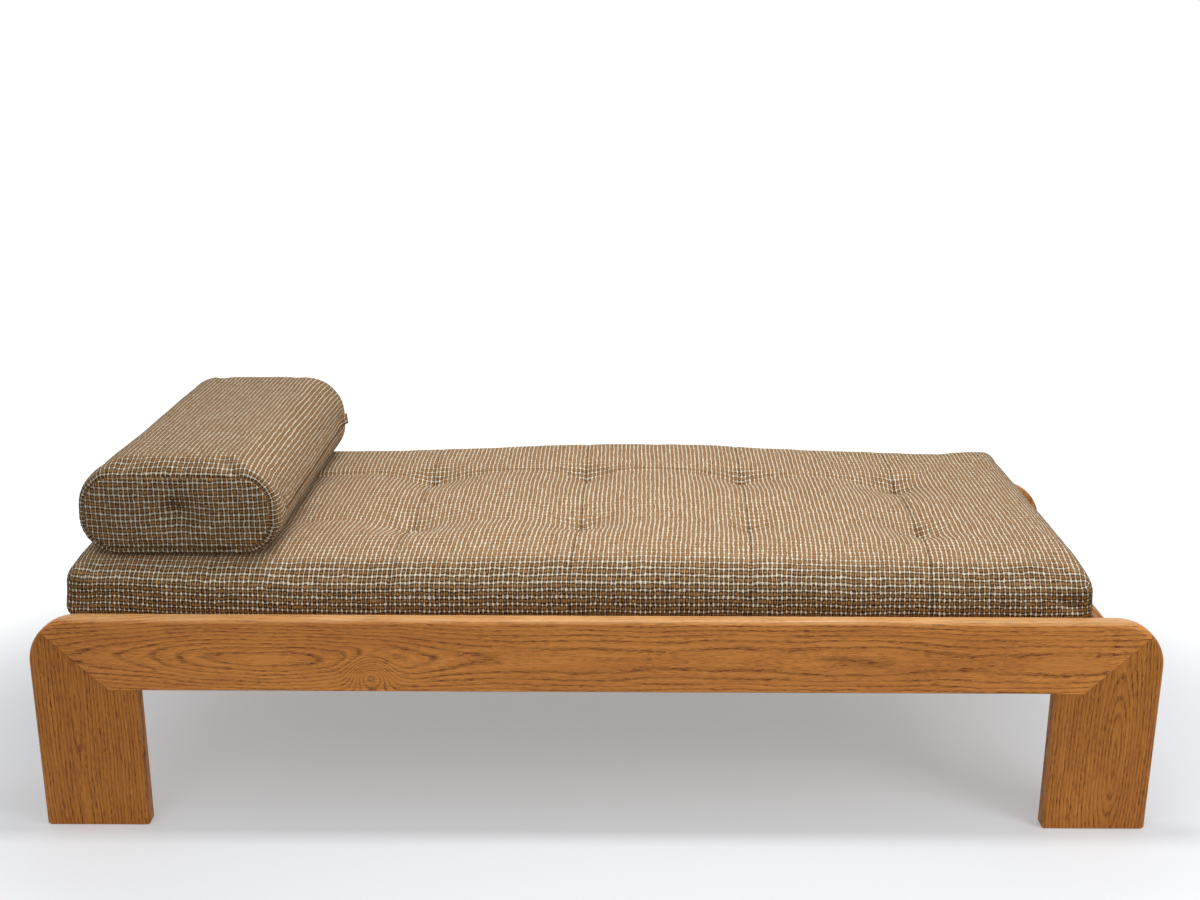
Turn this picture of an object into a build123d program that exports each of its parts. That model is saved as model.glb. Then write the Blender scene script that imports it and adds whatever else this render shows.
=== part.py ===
from build123d import *

import os
from math import sqrt

# A low daybed of solid oak boards with a tufted mattress and a loose bolster.
# Two inverted-U frames, front and rear, are joined by two end rails. Cleats inside the long
# rails carry slats, the mattress lies on the slats between the frames, and the bolster lies
# across the mattress at its left end.
# Millimetres. The origin is on the floor under the middle of the bed, +X to the right,
# +Y to the back, +Z up.

# Whole bed
bed_length = 2032.0
bed_depth = 825.5
frame_height = 412.75

# Oak frame boards
board_thickness = 31.75
rail_height = 139.7
leg_width = 190.5
corner_radius = 88.9
round_over = 11.0
eased_edge = 2.5
foot_chamfer = 2.5

# Loose tongue across each mitre, and dowel in each level shoulder
tongue_thickness = 8.0
tongue_width = 40.0
tongue_start = 55.0
tongue_length = 85.0
dowel_diameter = 10.0
dowel_sides = 8
shoulder_dowel_length = 50.0

# End rails, set in from the ends of the frames
end_rail_thickness = 25.4
end_rail_inset = 90.0
end_rail_top_round = 6.0
end_dowel_length = 40.0
end_dowel_depth = 14.0
end_dowel_margin = (10.0, 18.0)

# Deck of slats on cleats
deck_height = 393.0
slat_count = 12
slat_width = 70.0
slat_thickness = 19.0
slat_end_gap = 1.0
slat_chamfer = 2.0
cleat_width = 22.0
cleat_height = 32.0
cleat_chamfer = 3.0

# Glue blocks in the inside corners
block_size = 38.0
block_height = 60.0
block_chamfer = 18.0
block_screw_margin = 13.0
block_screw_drops = (18.0, 42.0)

# Wood screws
screw_diameter = 4.5
screw_head_diameter = 9.0
screw_sides = 6
slat_screw_length = 38.0
cleat_screw_length = 36.0
block_screw_length = 50.0
screw_tip_chamfer = 1.8

# Mattress
mattress_length = 1854.0
mattress_width = 752.0
mattress_thickness = 104.0
mattress_shift = -29.0
mattress_corner = 46.0
mattress_top_chamfer = 24.0
mattress_bottom_chamfer = 13.0
tuft_columns = 5
tuft_column_pitch = 325.0
tuft_row_pitch = 282.0
tuft_depth = 13.0
tuft_radius = 62.0
tuft_floor_radius = 6.0
tuft_sides = 8

# Bolster
bolster_width = 350.0
bolster_height = 166.0
bolster_length = 686.0
bolster_x = -752.0
bolster_y = 16.0
bolster_corner = 67.0
bolster_end_chamfer = 8.0
zip_flap_length = 560.0
zip_flap_height = 22.0
zip_flap_thickness = 2.5

# Soft goods
cover_thickness = 2.0
twine_diameter = 3.0
twine_sides = 6
rest_gap = 0.3

# Worked out from the sizes above
half_length = bed_length / 2
half_depth = bed_depth / 2
rail_bottom = frame_height - rail_height
inside_face = half_depth - board_thickness
board_middle = half_depth - board_thickness / 2
end_rail_outer = half_length - end_rail_inset
end_rail_inner = end_rail_outer - end_rail_thickness
end_rail_middle = end_rail_outer - end_rail_thickness / 2
cleat_top = deck_height - slat_thickness
cleat_bottom = cleat_top - cleat_height
cleat_middle = inside_face - cleat_width / 2
mattress_bottom = deck_height + rest_gap
mattress_top = mattress_bottom + mattress_thickness
bolster_bottom = mattress_top + rest_gap
bolster_middle = bolster_bottom + bolster_height / 2
sides = (-1, 1)
side_names = {-1: "left", 1: "right"}
face_names = {-1: "front", 1: "rear"}


# ---------------------------------------------------------------- joinery

def slat_centres():
    """X of each slat, evenly spread between the end rails."""
    gap = (2 * end_rail_inner - slat_count * slat_width) / (slat_count + 1)
    pitch = slat_width + gap
    first = -end_rail_inner + gap + slat_width / 2
    return [first + index * pitch for index in range(slat_count)]


def wood_screw(length):
    """A countersunk screw of few faces, its head flush with Z = 0 and its tip pointing down."""
    shank = screw_diameter / 2
    head = screw_head_diameter / 2
    with BuildPart() as screw:
        with BuildSketch(Plane.XY.offset(shank - head)):
            RegularPolygon(head, screw_sides, major_radius=False)
        extrude(amount=head)
        chamfer(screw.faces().sort_by(Axis.Z)[0].edges(), head - shank)
        split(bisect_by=Plane.XY, keep=Keep.BOTTOM)
        with BuildSketch(Plane.XY.offset(-length)):
            RegularPolygon(shank, screw_sides, major_radius=False)
        extrude(amount=length + shank - head)
        chamfer(screw.faces().sort_by(Axis.Z)[0].edges(), screw_tip_chamfer)
    return screw.part


def screw_seat(x, y, z, out):
    """The plane that a sideways screw's head lies flush with, facing out of the wood."""
    return Plane(origin=(x, y, z), x_dir=(0, 0, 1), z_dir=out)


def mitre_tongue(x_side):
    """The loose tongue across one mitre, its long side along the mitre, at the frame's middle."""
    along = (tongue_start + tongue_length / 2) / sqrt(2)
    with BuildPart() as tongue:
        with BuildSketch(Plane.XZ.offset(-tongue_thickness / 2)):
            with Locations((x_side * (half_length - along), frame_height - along)):
                Rectangle(tongue_length, tongue_width, rotation=x_side * 45)
        extrude(amount=tongue_thickness)
    return tongue.part


with BuildPart() as mitre_tongues:
    with Locations((0, -board_middle, 0), (0, board_middle, 0)):
        add([mitre_tongue(x_side) for x_side in sides])

with BuildPart() as shoulder_dowels:
    shoulder_middle = half_length - (leg_width + rail_height) / 2
    with BuildSketch(Plane.XY.offset(rail_bottom)):
        with GridLocations(2 * shoulder_middle, 2 * board_middle, 2, 2):
            RegularPolygon(dowel_diameter / 2, dowel_sides)
    extrude(amount=shoulder_dowel_length / 2, both=True)

with BuildPart() as end_rail_dowels:
    dowel_y = inside_face + end_dowel_depth - end_dowel_length / 2
    low = rail_bottom + end_dowel_margin[0]
    high = deck_height - end_dowel_margin[1]
    for y_side in sides:
        with BuildSketch(Plane.XZ.offset(y_side * dowel_y)):
            with Locations((0, (low + high) / 2)):
                with GridLocations(2 * end_rail_middle, high - low, 2, 2):
                    RegularPolygon(dowel_diameter / 2, dowel_sides)
    extrude(amount=end_dowel_length / 2, both=True)

with BuildPart() as slat_screws:
    with Locations([(x, y * cleat_middle, deck_height) for x in slat_centres() for y in sides]):
        add(wood_screw(slat_screw_length))

with BuildPart() as cleat_screws:
    centres = slat_centres()
    gap_middles = [(a + b) / 2 for a, b in zip(centres[::2], centres[1::2])]
    seat_y = inside_face - cleat_width
    seat_z = (cleat_top + cleat_bottom) / 2
    with Locations(
        [screw_seat(x, y * seat_y, seat_z, (0, -y, 0)) for x in gap_middles for y in sides]
    ):
        add(wood_screw(cleat_screw_length))

with BuildPart() as glue_block_screws:
    upper, lower = [cleat_bottom - drop for drop in block_screw_drops]
    for x in sides:
        for y in sides:
            into_end_rail = screw_seat(
                x * (end_rail_inner - block_size),
                y * (inside_face - block_screw_margin),
                upper,
                (-x, 0, 0),
            )
            into_frame = screw_seat(
                x * (end_rail_inner - block_screw_margin),
                y * (inside_face - block_size),
                lower,
                (0, -y, 0),
            )
            with Locations(into_end_rail, into_frame):
                add(wood_screw(block_screw_length))


# ---------------------------------------------------------------- oak frames

def is_outer(edge):
    """True on the top, the rounded corners and the outer sides of a frame."""
    middle = edge.center()
    return (
        abs(middle.X) > half_length - corner_radius or middle.Z > frame_height - corner_radius
    )


with BuildPart() as whole_frame:
    with BuildSketch(Plane.XZ.offset(inside_face)) as frame_outline:
        with Locations((0, frame_height / 2)):
            Rectangle(bed_length, frame_height)
        fillet(frame_outline.vertices().group_by(Axis.Y)[-1], corner_radius)
        with Locations((0, rail_bottom / 2)):
            Rectangle(bed_length - 2 * leg_width, rail_bottom, mode=Mode.SUBTRACT)
    extrude(amount=board_thickness)
    face_edges = whole_frame.faces().filter_by(Axis.Y).edges()
    fillet(face_edges.filter_by(is_outer), round_over)
    inner_edges = whole_frame.faces().filter_by(Axis.Y).edges().filter_by(
        lambda edge: abs(edge.center().X) < half_length - leg_width + eased_edge
        and 0 < edge.center().Z < rail_bottom + eased_edge
    )
    chamfer(inner_edges, eased_edge)
    chamfer(whole_frame.faces().group_by(Axis.Z)[0].edges(), foot_chamfer)


def frame_board(corners):
    """The stretch of the front frame inside a region of the XZ plane, less its joinery."""
    with BuildPart() as board:
        add(whole_frame.part)
        with BuildSketch(Plane.XZ):
            with BuildLine():
                Polyline(*corners, close=True)
            make_face()
        extrude(amount=half_depth, mode=Mode.INTERSECT)
        for joinery in (
            mitre_tongues,
            shoulder_dowels,
            end_rail_dowels,
            cleat_screws,
            glue_block_screws,
        ):
            add(joinery.part, mode=Mode.SUBTRACT)
    return board.part


rail_region = (
    (-half_length, frame_height),
    (rail_height - half_length, rail_bottom),
    (half_length - rail_height, rail_bottom),
    (half_length, frame_height),
)
leg_region = (
    (-half_length, frame_height),
    (rail_height - half_length, rail_bottom),
    (leg_width - half_length, rail_bottom),
    (leg_width - half_length, 0),
    (-half_length, 0),
)

with BuildPart() as front_rail:
    add(frame_board(rail_region))

with BuildPart() as rear_rail:
    add(mirror(front_rail.part, about=Plane.XZ, mode=Mode.PRIVATE))

front_left_leg = frame_board(leg_region)
legs = {}
for x_side in sides:
    for y_side in sides:
        with BuildPart() as leg:
            add(front_left_leg)
            if x_side > 0:
                mirror(about=Plane.YZ, mode=Mode.REPLACE)
            if y_side > 0:
                mirror(about=Plane.XZ, mode=Mode.REPLACE)
        legs[f"leg_{face_names[y_side]}_{side_names[x_side]}"] = leg


# ---------------------------------------------------------------- end rails and glue blocks

end_rails = {}
for x_side in sides:
    with BuildPart() as end_rail:
        with BuildSketch(Plane.YZ.offset(x_side * end_rail_middle)):
            with Locations((0, (rail_bottom + deck_height) / 2)):
                Rectangle(2 * inside_face, deck_height - rail_bottom)
        extrude(amount=end_rail_thickness / 2, both=True)
        fillet(end_rail.edges().filter_by(Axis.Y).group_by(Axis.Z)[-1], end_rail_top_round)
        chamfer(end_rail.edges().filter_by(Axis.Y).group_by(Axis.Z)[0], eased_edge)
        add(end_rail_dowels.part, mode=Mode.SUBTRACT)
        add(glue_block_screws.part, mode=Mode.SUBTRACT)
    end_rails[f"end_rail_{side_names[x_side]}"] = end_rail

glue_blocks = {}
for x_side in sides:
    for y_side in sides:
        with BuildPart() as glue_block:
            with BuildSketch(Plane.XY.offset(cleat_bottom - block_height)) as block_outline:
                with Locations(
                    (
                        x_side * (end_rail_inner - block_size / 2),
                        y_side * (inside_face - block_size / 2),
                    )
                ):
                    Rectangle(block_size, block_size)
                inner_corner = block_outline.vertices().sort_by_distance((0, 0))[0]
                chamfer(inner_corner, block_chamfer)
            extrude(amount=block_height)
            add(glue_block_screws.part, mode=Mode.SUBTRACT)
        glue_blocks[f"glue_block_{face_names[y_side]}_{side_names[x_side]}"] = glue_block


# ---------------------------------------------------------------- deck

cleats = {}
for y_side in sides:
    with BuildPart() as cleat:
        with Locations((0, y_side * cleat_middle, (cleat_top + cleat_bottom) / 2)):
            Box(2 * end_rail_inner, cleat_width, cleat_height)
        lower_edges = cleat.edges().filter_by(Axis.X).group_by(Axis.Z)[0]
        chamfer(lower_edges.sort_by(Axis.Y)[-1 if y_side < 0 else 0], cleat_chamfer)
        add(slat_screws.part, mode=Mode.SUBTRACT)
        add(cleat_screws.part, mode=Mode.SUBTRACT)
    cleats[f"cleat_{face_names[y_side]}"] = cleat

slats = {}
for number, slat_x in enumerate(slat_centres(), start=1):
    with BuildPart() as slat:
        with BuildSketch(Plane.XZ.offset(slat_end_gap - inside_face)) as slat_section:
            with Locations((slat_x, deck_height - slat_thickness / 2)):
                Rectangle(slat_width, slat_thickness)
            chamfer(slat_section.vertices(), slat_chamfer)
        extrude(amount=2 * (inside_face - slat_end_gap))
        add(slat_screws.part, mode=Mode.SUBTRACT)
    slats[f"slat_{number:02d}"] = slat


# ---------------------------------------------------------------- mattress

def drawn_in(edge, inset):
    """The chamfer that keeps its distance from the outer one on a block drawn in by inset."""
    return edge - (2 - sqrt(2)) * inset


with BuildPart() as tuft_hollow:
    with BuildSketch(Plane.XY.offset(-tuft_depth)):
        RegularPolygon(tuft_radius, tuft_sides, major_radius=False)
    extrude(amount=2 * tuft_depth)
    hollow_floor = tuft_hollow.faces().sort_by(Axis.Z)[0]
    chamfer(
        hollow_floor.edges(),
        length=tuft_radius - tuft_floor_radius,
        length2=tuft_depth,
        reference=hollow_floor,
    )


def mattress_block(inset):
    """The tufted block, drawn in by inset from the outside of its cover."""
    with BuildPart() as block:
        with BuildSketch(Plane.XY.offset(mattress_bottom + inset)):
            with Locations((mattress_shift, 0)):
                RectangleRounded(
                    mattress_length - 2 * inset,
                    mattress_width - 2 * inset,
                    mattress_corner - inset,
                )
        extrude(amount=mattress_thickness - 2 * inset)
        chamfer(block.edges().group_by(Axis.Z)[-1], drawn_in(mattress_top_chamfer, inset))
        chamfer(block.edges().group_by(Axis.Z)[0], drawn_in(mattress_bottom_chamfer, inset))
        with Locations((mattress_shift, 0, mattress_top - inset)):
            with GridLocations(tuft_column_pitch, tuft_row_pitch, tuft_columns, 2):
                add(tuft_hollow.part, mode=Mode.SUBTRACT)
    return block.part


with BuildPart() as mattress_tuft_twines:
    with BuildSketch(Plane.XY.offset(mattress_bottom + cover_thickness)):
        with Locations((mattress_shift, 0)):
            with GridLocations(tuft_column_pitch, tuft_row_pitch, tuft_columns, 2):
                RegularPolygon(twine_diameter / 2, twine_sides)
    extrude(amount=mattress_thickness - 2 * cover_thickness - tuft_depth)

with BuildPart() as mattress_cover:
    add(mattress_block(0))
    add(mattress_block(cover_thickness), mode=Mode.SUBTRACT)

with BuildPart() as mattress_core:
    add(mattress_block(cover_thickness))
    add(mattress_tuft_twines.part, mode=Mode.SUBTRACT)


# ---------------------------------------------------------------- bolster

def bolster_block(inset):
    """The bolster's block, drawn in by inset from the outside of its cover."""
    with BuildPart() as block:
        with BuildSketch(Plane.XZ.offset(inset - bolster_y - bolster_length / 2)):
            with Locations((bolster_x, bolster_middle)):
                RectangleRounded(
                    bolster_width - 2 * inset,
                    bolster_height - 2 * inset,
                    bolster_corner - inset,
                )
        extrude(amount=bolster_length - 2 * inset)
        chamfer(block.edges().group_by(Axis.Y)[0], drawn_in(bolster_end_chamfer, inset))
        chamfer(block.edges().group_by(Axis.Y)[-1], drawn_in(bolster_end_chamfer, inset))
    return block.part


with BuildPart() as bolster_tuft_twine:
    with BuildSketch(Plane.XZ.offset(-bolster_y)):
        with Locations((bolster_x, bolster_middle)):
            RegularPolygon(twine_diameter / 2, twine_sides)
    extrude(amount=bolster_length / 2 - cover_thickness, both=True)

with BuildPart() as bolster_cover:
    add(bolster_block(0))
    add(bolster_block(cover_thickness), mode=Mode.SUBTRACT)

with BuildPart() as bolster_core:
    add(bolster_block(cover_thickness))
    add(bolster_tuft_twine.part, mode=Mode.SUBTRACT)

with BuildPart() as bolster_zip_flap:
    with BuildSketch(Plane.YZ.offset(bolster_x + bolster_width / 2)):
        with Locations((bolster_y, bolster_middle)):
            Rectangle(zip_flap_length, zip_flap_height)
    extrude(amount=zip_flap_thickness)


# ---------------------------------------------------------------- one STEP file for each piece

pieces = {
    "front_rail": front_rail,
    "rear_rail": rear_rail,
    "mitre_tongues": mitre_tongues,
    "shoulder_dowels": shoulder_dowels,
    "end_rail_dowels": end_rail_dowels,
    "glue_block_screws": glue_block_screws,
    "cleat_screws": cleat_screws,
    "slat_screws": slat_screws,
    "mattress_cover": mattress_cover,
    "mattress_core": mattress_core,
    "mattress_tuft_twines": mattress_tuft_twines,
    "bolster_cover": bolster_cover,
    "bolster_core": bolster_core,
    "bolster_tuft_twine": bolster_tuft_twine,
    "bolster_zip_flap": bolster_zip_flap,
    **legs,
    **end_rails,
    **glue_blocks,
    **cleats,
    **slats,
}

os.makedirs("parts", exist_ok=True)
for name, piece in pieces.items():
    piece.part.label = name
    export_step(piece.part, f"parts/{name}.step")
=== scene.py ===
"""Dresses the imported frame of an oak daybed: its finishes, tufted tweed mattress and tweed bolster."""

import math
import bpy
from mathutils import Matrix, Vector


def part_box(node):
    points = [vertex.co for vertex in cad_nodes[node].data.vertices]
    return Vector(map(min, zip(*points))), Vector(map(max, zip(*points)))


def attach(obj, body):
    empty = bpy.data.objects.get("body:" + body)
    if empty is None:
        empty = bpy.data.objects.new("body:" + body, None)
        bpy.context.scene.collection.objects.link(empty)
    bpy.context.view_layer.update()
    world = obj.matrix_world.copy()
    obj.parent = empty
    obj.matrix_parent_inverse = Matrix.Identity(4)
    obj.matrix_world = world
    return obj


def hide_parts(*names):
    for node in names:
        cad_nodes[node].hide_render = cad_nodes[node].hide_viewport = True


bl_info = {
    "name": "Oak Daybed",
    "version": (1, 0, 0),
    "blender": (4, 5, 0),
    "location": "3D View > Sidebar > Daybed",
    "description": "Dresses a packed oak daybed with finishes, a tufted mattress and a bolster",
    "category": "Object",
}

from functools import partial

import bmesh
import bpy
from bpy.props import FloatProperty, FloatVectorProperty, IntProperty, PointerProperty
from mathutils import Matrix, Vector, noise
from mathutils.bvhtree import BVHTree

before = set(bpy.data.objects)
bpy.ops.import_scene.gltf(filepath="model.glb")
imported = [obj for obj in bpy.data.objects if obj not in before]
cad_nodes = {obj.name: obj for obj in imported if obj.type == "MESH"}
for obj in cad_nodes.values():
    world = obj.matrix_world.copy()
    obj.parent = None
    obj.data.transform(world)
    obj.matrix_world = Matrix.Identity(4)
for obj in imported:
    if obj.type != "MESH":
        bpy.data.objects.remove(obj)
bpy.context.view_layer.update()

# Camera: where it stands, how it is turned in radians, and its lens in millimetres
CAMERA_PLACE = (0.0073, -2.80975, 1.4484)
CAMERA_YAW = 0.0009
CAMERA_PITCH = 0.2918
CAMERA_ROLL = 0.0038
CAMERA_LENS = 43.98
CAMERA_SENSOR = 36.0

# Lights: the places and sizes of the lamps in metres, and the two fill lights' shares of power
KEY_PLACE = (0.1, -0.25, 2.0)
KEY_TARGET = (0.1, -0.1, 0.3)
KEY_SIZE = (1.3, 0.22)
FILL_LEFT = (-1.4, -2.7, 1.5)
FILL_RIGHT = (2.2, -1.6, 1.5)
FILL_TARGET = (0.1, 0.0, 0.3)
FILL_SIZE = (1.0, 1.0)
FILL_LEFT_SHARE = 0.35
FILL_RIGHT_SHARE = 0.8

# The floor reaches this far each way, and has faded to white between these distances
FLOOR_REACH = 40.0
FLOOR_FADE = (0.8, 1.25)

# Board axes: where a board's grain, width and thickness lie, as rows of a turn
ALONG_X = Matrix(((1, 0, 0), (0, 0, 1), (0, -1, 0)))
ALONG_Z = Matrix(((0, 0, 1), (1, 0, 0), (0, 1, 0)))
ALONG_Y_UPRIGHT = Matrix(((0, 1, 0), (0, 0, 1), (1, 0, 0)))
ALONG_Y_FLAT = Matrix(((0, 1, 0), (1, 0, 0), (0, 0, -1)))

# Woods: light grain, dark grain and pores. The oak's own colours are settings.
PINE = ((0.72, 0.50, 0.26, 1), (0.58, 0.34, 0.14, 1), (0.40, 0.19, 0.07, 1))
BEECH = ((0.66, 0.44, 0.26, 1), (0.56, 0.35, 0.19, 1), (0.36, 0.20, 0.10, 1))
# A painted highlight: pale oak laid along the rounded top edge of the frame, where the lamp would gleam
OAK_HIGHLIGHT = (0.92, 0.66, 0.34, 1)
# Relief of grain, weave and foam, each as (strength, height)
GRAIN_BUMP = (0.35, 0.0003)
WEAVE_BUMP = (0.85, 0.0016)
FOAM_BUMP = (0.5, 0.0008)
# The painted highlight along the rounded top edge is full within its second distance from the top, and
# gone at its first
EDGE_HIGHLIGHT = (0.009, 0.002)
# A joint line is full as far as its first distance, and gone at its second
JOINT_LINE = (0.0004, 0.0013)
# Clear coat on the oak: the rails are polished by use, the legs are not
RAIL_COAT = 0.2
LEG_COAT = 0.07

# Oak boards: axes, where the grain starts, shade, and the grain's figure in this order, where a
# short row leaves the last ones as the grain has them
FIGURE = (
    "Pith_Height", "Pith_Depth", "Eye", "Eye_Place", "Wander", "Swell", "Eye_Length", "Knot",
)
FRONT_KNOT = (-0.343, -0.037, 0.0)
# Shade lightens or darkens each board's copy of the oak: on the front rail it is painted light, and on
# the front legs it is partly their own tone and partly painted shade
OAK_BOARDS = (
    ("front_rail", ALONG_X, (0.0, -0.343, -0.41275), 1.18,
     (-0.006, -0.056, 0.032, -0.57, 0.035, 0.016, 0.25, FRONT_KNOT)),
    ("rear_rail", ALONG_X, (3.7, -0.343, 0.41275), 1.0,
     (-0.01, 0.06, -0.03, 4.1, 0.04, 0.04, 0.3)),
    ("leg_front_left", ALONG_Z, (1.3, 0.93, 0.41275), 0.88,
     (-0.01, 0.013, -0.008, 1.55, 0.03, 0.014, 0.12)),
    ("leg_front_right", ALONG_Z, (5.1, -0.918, 0.41275), 0.88,
     (0.02, 0.028, -0.026, 5.25, 0.03, 0.01, 0.14)),
    ("leg_rear_left", ALONG_Z, (7.3, 0.93, -0.41275), 0.94,
     (0.01, -0.05, 0.03, 7.5, 0.05, 0.03, 0.2)),
    ("leg_rear_right", ALONG_Z, (9.7, -0.93, -0.41275), 0.9,
     (-0.01, -0.06, 0.035, 9.8, 0.05, 0.03, 0.25)),
    ("end_rail_left", ALONG_Y_UPRIGHT, (2.3, -0.33, 0.926), 0.96,
     (0.01, 0.05, -0.02, 2.3, 0.04, 0.04)),
    ("end_rail_right", ALONG_Y_UPRIGHT, (4.9, -0.33, -0.926), 1.0,
     (-0.01, -0.05, 0.02, 4.8, 0.04, 0.04)),
)

# A place this near to an edge of the cloth box is on it
TOUCH = 1e-6

# Mattress: its block inside the cover. Its edges are the bottom one and the top one.
MATTRESS_CENTRE = Vector((-0.031, 0.0, 0.4443))
MATTRESS_HALF = Vector((0.931, 0.371, 0.051))
MATTRESS_CORNER = 0.028
MATTRESS_EDGES = (0.014, 0.032)
MATTRESS_FRONT_FALL = 0.026
MATTRESS_FRONT_REACH = 0.15
MATTRESS_CROWN = 0.023
MATTRESS_CROWN_PLACE = 0.12
MATTRESS_CROWN_REACH = 0.42
SEAM_PITCH = 0.325
SEAM_PLACES = tuple(SEAM_PITCH * column for column in (-2, -1, 0, 1, 2))
SEAM_GAP = 0.004
LINE_CLEARANCE = 0.004
ROW_PITCH = 0.282
ROW_PLACES = (-ROW_PITCH / 2, ROW_PITCH / 2)
# How far the loose cover has shifted, as (place, shift) points along the bed or across it
SIDE_PULL = ((-0.376, -0.018), (-0.14, 0.0), (0.145, 0.0075), (0.376, 0.012))
FRONT_ROW_PULL = ((-0.68, 0.006), (-0.35, 0.006), (0.0, 0.002), (0.3, 0.003), (0.65, -0.014))
REAR_ROW_PULL = ((-0.68, 0.017), (-0.35, 0.014), (0.0, 0.008), (0.3, 0.002), (0.65, -0.028))
# Where the bolster rests: how far in it presses, the gap under it, and the slope beside it
PRESS_INSET = 0.035
PRESS_GAP = 0.0006
PRESS_SLOPE = 0.25
# While the cloth swells it is held this near to its base, and its tufts this near to its top
HOLD_HEIGHT = 0.02
# Tufts: a bowl with a dimple in it, each as (width, share of the tuft's depth), how far below
# the top they fade out, and how they are held while the cloth swells, as (width, strength)
TUFT_BOWL = (0.042, 0.78)
TUFT_DIMPLE = (0.015, 0.22)
TUFT_FADE = 0.06
TUFT_GRIP = (0.016, 1.2)
# Furrows, creases and swells of the covers, each as (width, depth)
ROW_CREASE = (0.008, 0.0004)
ROW_FURROW = (0.045, 0.0014)
ROW_LINE = (0.004, 0.0002)
ROW_LINE_REACH = 2.4 * SEAM_PITCH
ROW_REACH = 2.2 * SEAM_PITCH
ROW_FADE = 0.2
SEAM_FURROW = (0.005, 0.0005)
END_SWELL_HEIGHT = 0.03
LEFT_END_SWELL = (0.035, 0.007)
RIGHT_END_SWELL = (0.035, 0.004)
TUFT_FOLDS = (0.035, 0.0015)
TUFT_KNOT = (0.008, 0.004)
TUFT_FOLD_REACH = 0.12
TUFT_FOLD_DROP = 0.03
SEAM_PUCKER = (0.0035, 0.0006)
SEAM_SHOULDER = (0.008, 0.0005)
SEAM_SHOULDER_PLACE = 0.012

# Bolster: its block inside the cover. Its edges are those round the front and rear end.
BOLSTER_CENTRE = Vector((-0.7510, 0.011, 0.5828))
BOLSTER_HALF = Vector((0.1825, 0.344, 0.085))
BOLSTER_CORNER = 0.072
BOLSTER_EDGES = (0.022, 0.036)
BOLSTER_SEAM_TURN = 0.2
BOLSTER_CROWN = 0.004
BOLSTER_SKEW = 0.0225
BOLSTER_TAPER = 0.048
BOLSTER_FRONT_SWELL = 0.002
# The bolster's tweed is a darker copy of the mattress's tweed: painted shade
BOLSTER_PAINTED_SHADE = 0.82
BOLSTER_CELL = 0.0095
BOLSTER_SWELL = 0.008
WRAP_BLEND = 0.008
# The cloth is cut finer beside each end seam, and evenly from this margin on
END_GAPS = (0.003, 0.007, 0.013)
END_MARGIN = 0.02
# The end panels: their own swell, and the tuft in their middle as (width, depth)
PANEL_SWELL = 0.006
PANEL_BOWL = (0.022, 0.014)
PANEL_DIMPLE = (0.02, 0.006)
PANEL_FOLDS = (0.03, 0.0012)
PANEL_GRIP = 0.016
# The sewn end seams: the line drawn in, and the shoulder beside it, as (width, depth)
END_SEAM = (0.0032, 0.0032)
END_SEAM_PUCKER = 0.5
END_SHOULDER = (0.010, 0.0010)
END_SHOULDER_PLACE = 0.014
# The flap over the zip, with a loose tab at its rear end
PLACKET_TAB = 0.04
PLACKET_TAB_LIFT = 0.013
PLACKET_TAB_RISE = 0.006
PLACKET_THICKNESS = 0.0012

# What both cloth simulations have in common
CLOTH = {
    "quality": 5, "use_pressure": True, "tension_stiffness": 12.0,
    "compression_stiffness": 12.0, "bending_stiffness": 0.3,
}

# Foam cores: how far inside the cover they lie, their roundings, and the size of a face
FOAM_CELL = 0.05
MATTRESS_FOAM = {"inset": 0.022, "corner": 0.03, "edges": (0.012, 0.02)}
MATTRESS_FOAM_DROP = 0.006
BOLSTER_FOAM = {"inset": 0.024, "corner": 0.055, "edges": (0.012, 0.012)}
# Twines: those in the mattress start at its base, and the bolster's ends short of its panels
TWINE_RADIUS = 0.0015
MATTRESS_TWINE_LENGTH = 0.072
BOLSTER_TWINE_INSET = 0.03


# ---------------- settings


# What settings of one kind have in common
ColourProperty = partial(FloatVectorProperty, subtype="COLOR", size=4, min=0.0, max=1.0)
LengthProperty = partial(FloatProperty, subtype="DISTANCE", unit="LENGTH")
PowerProperty = partial(FloatProperty, subtype="POWER", unit="POWER", min=0.0)


class DaybedOak(bpy.types.PropertyGroup):
    light: ColourProperty(
        name="Light grain", description="Colour of the early wood",
        default=(0.76, 0.30, 0.058, 1.0),
    )
    dark: ColourProperty(
        name="Dark grain", description="Colour of the late wood",
        default=(0.50, 0.174, 0.033, 1.0),
    )
    pore: ColourProperty(
        name="Pores", description="Colour of the open pores and of the joint lines",
        default=(0.14, 0.038, 0.010, 1.0),
    )
    ring_width: LengthProperty(
        name="Ring width", description="Thickness of one year's growth", min=0.001,
        default=0.0062,
    )


class DaybedTweed(bpy.types.PropertyGroup):
    cream: ColourProperty(
        name="Cream thread", description="Colour of the raised threads",
        default=(0.88, 0.80, 0.62, 1.0),
    )
    rust: ColourProperty(
        name="Rust thread", description="Colour of the thread between them",
        default=(0.48, 0.212, 0.047, 1.0),
    )
    brown: ColourProperty(
        name="Brown ground", description="Colour of the ground weave",
        default=(0.024, 0.011, 0.006, 1.0),
    )
    across: LengthProperty(
        name="Thread pitch across", description="Distance between lengthwise cream threads",
        min=0.002, default=0.0088,
    )
    along: LengthProperty(
        name="Thread pitch along", description="Distance between crosswise cream threads",
        min=0.002, default=0.0119,
    )


class DaybedUpholstery(bpy.types.PropertyGroup):
    cell: LengthProperty(
        name="Cloth cell", description="Size of one mattress face before the last subdivision",
        min=0.004, default=0.0125,
    )
    tuft_depth: LengthProperty(
        name="Tuft depth", description="How far a tuft is drawn below the crown", min=0.0,
        default=0.027,
    )
    pressure: FloatProperty(
        name="Filling pressure", description="Pressure that swells the covers", min=0.0,
        default=4.0,
    )
    swell: LengthProperty(
        name="Largest swell", description="The furthest that the mattress cloth may be pushed",
        min=0.0, default=0.009,
    )
    frames: IntProperty(
        name="Frames", description="Length of each cloth simulation", min=1, default=20,
    )


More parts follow.
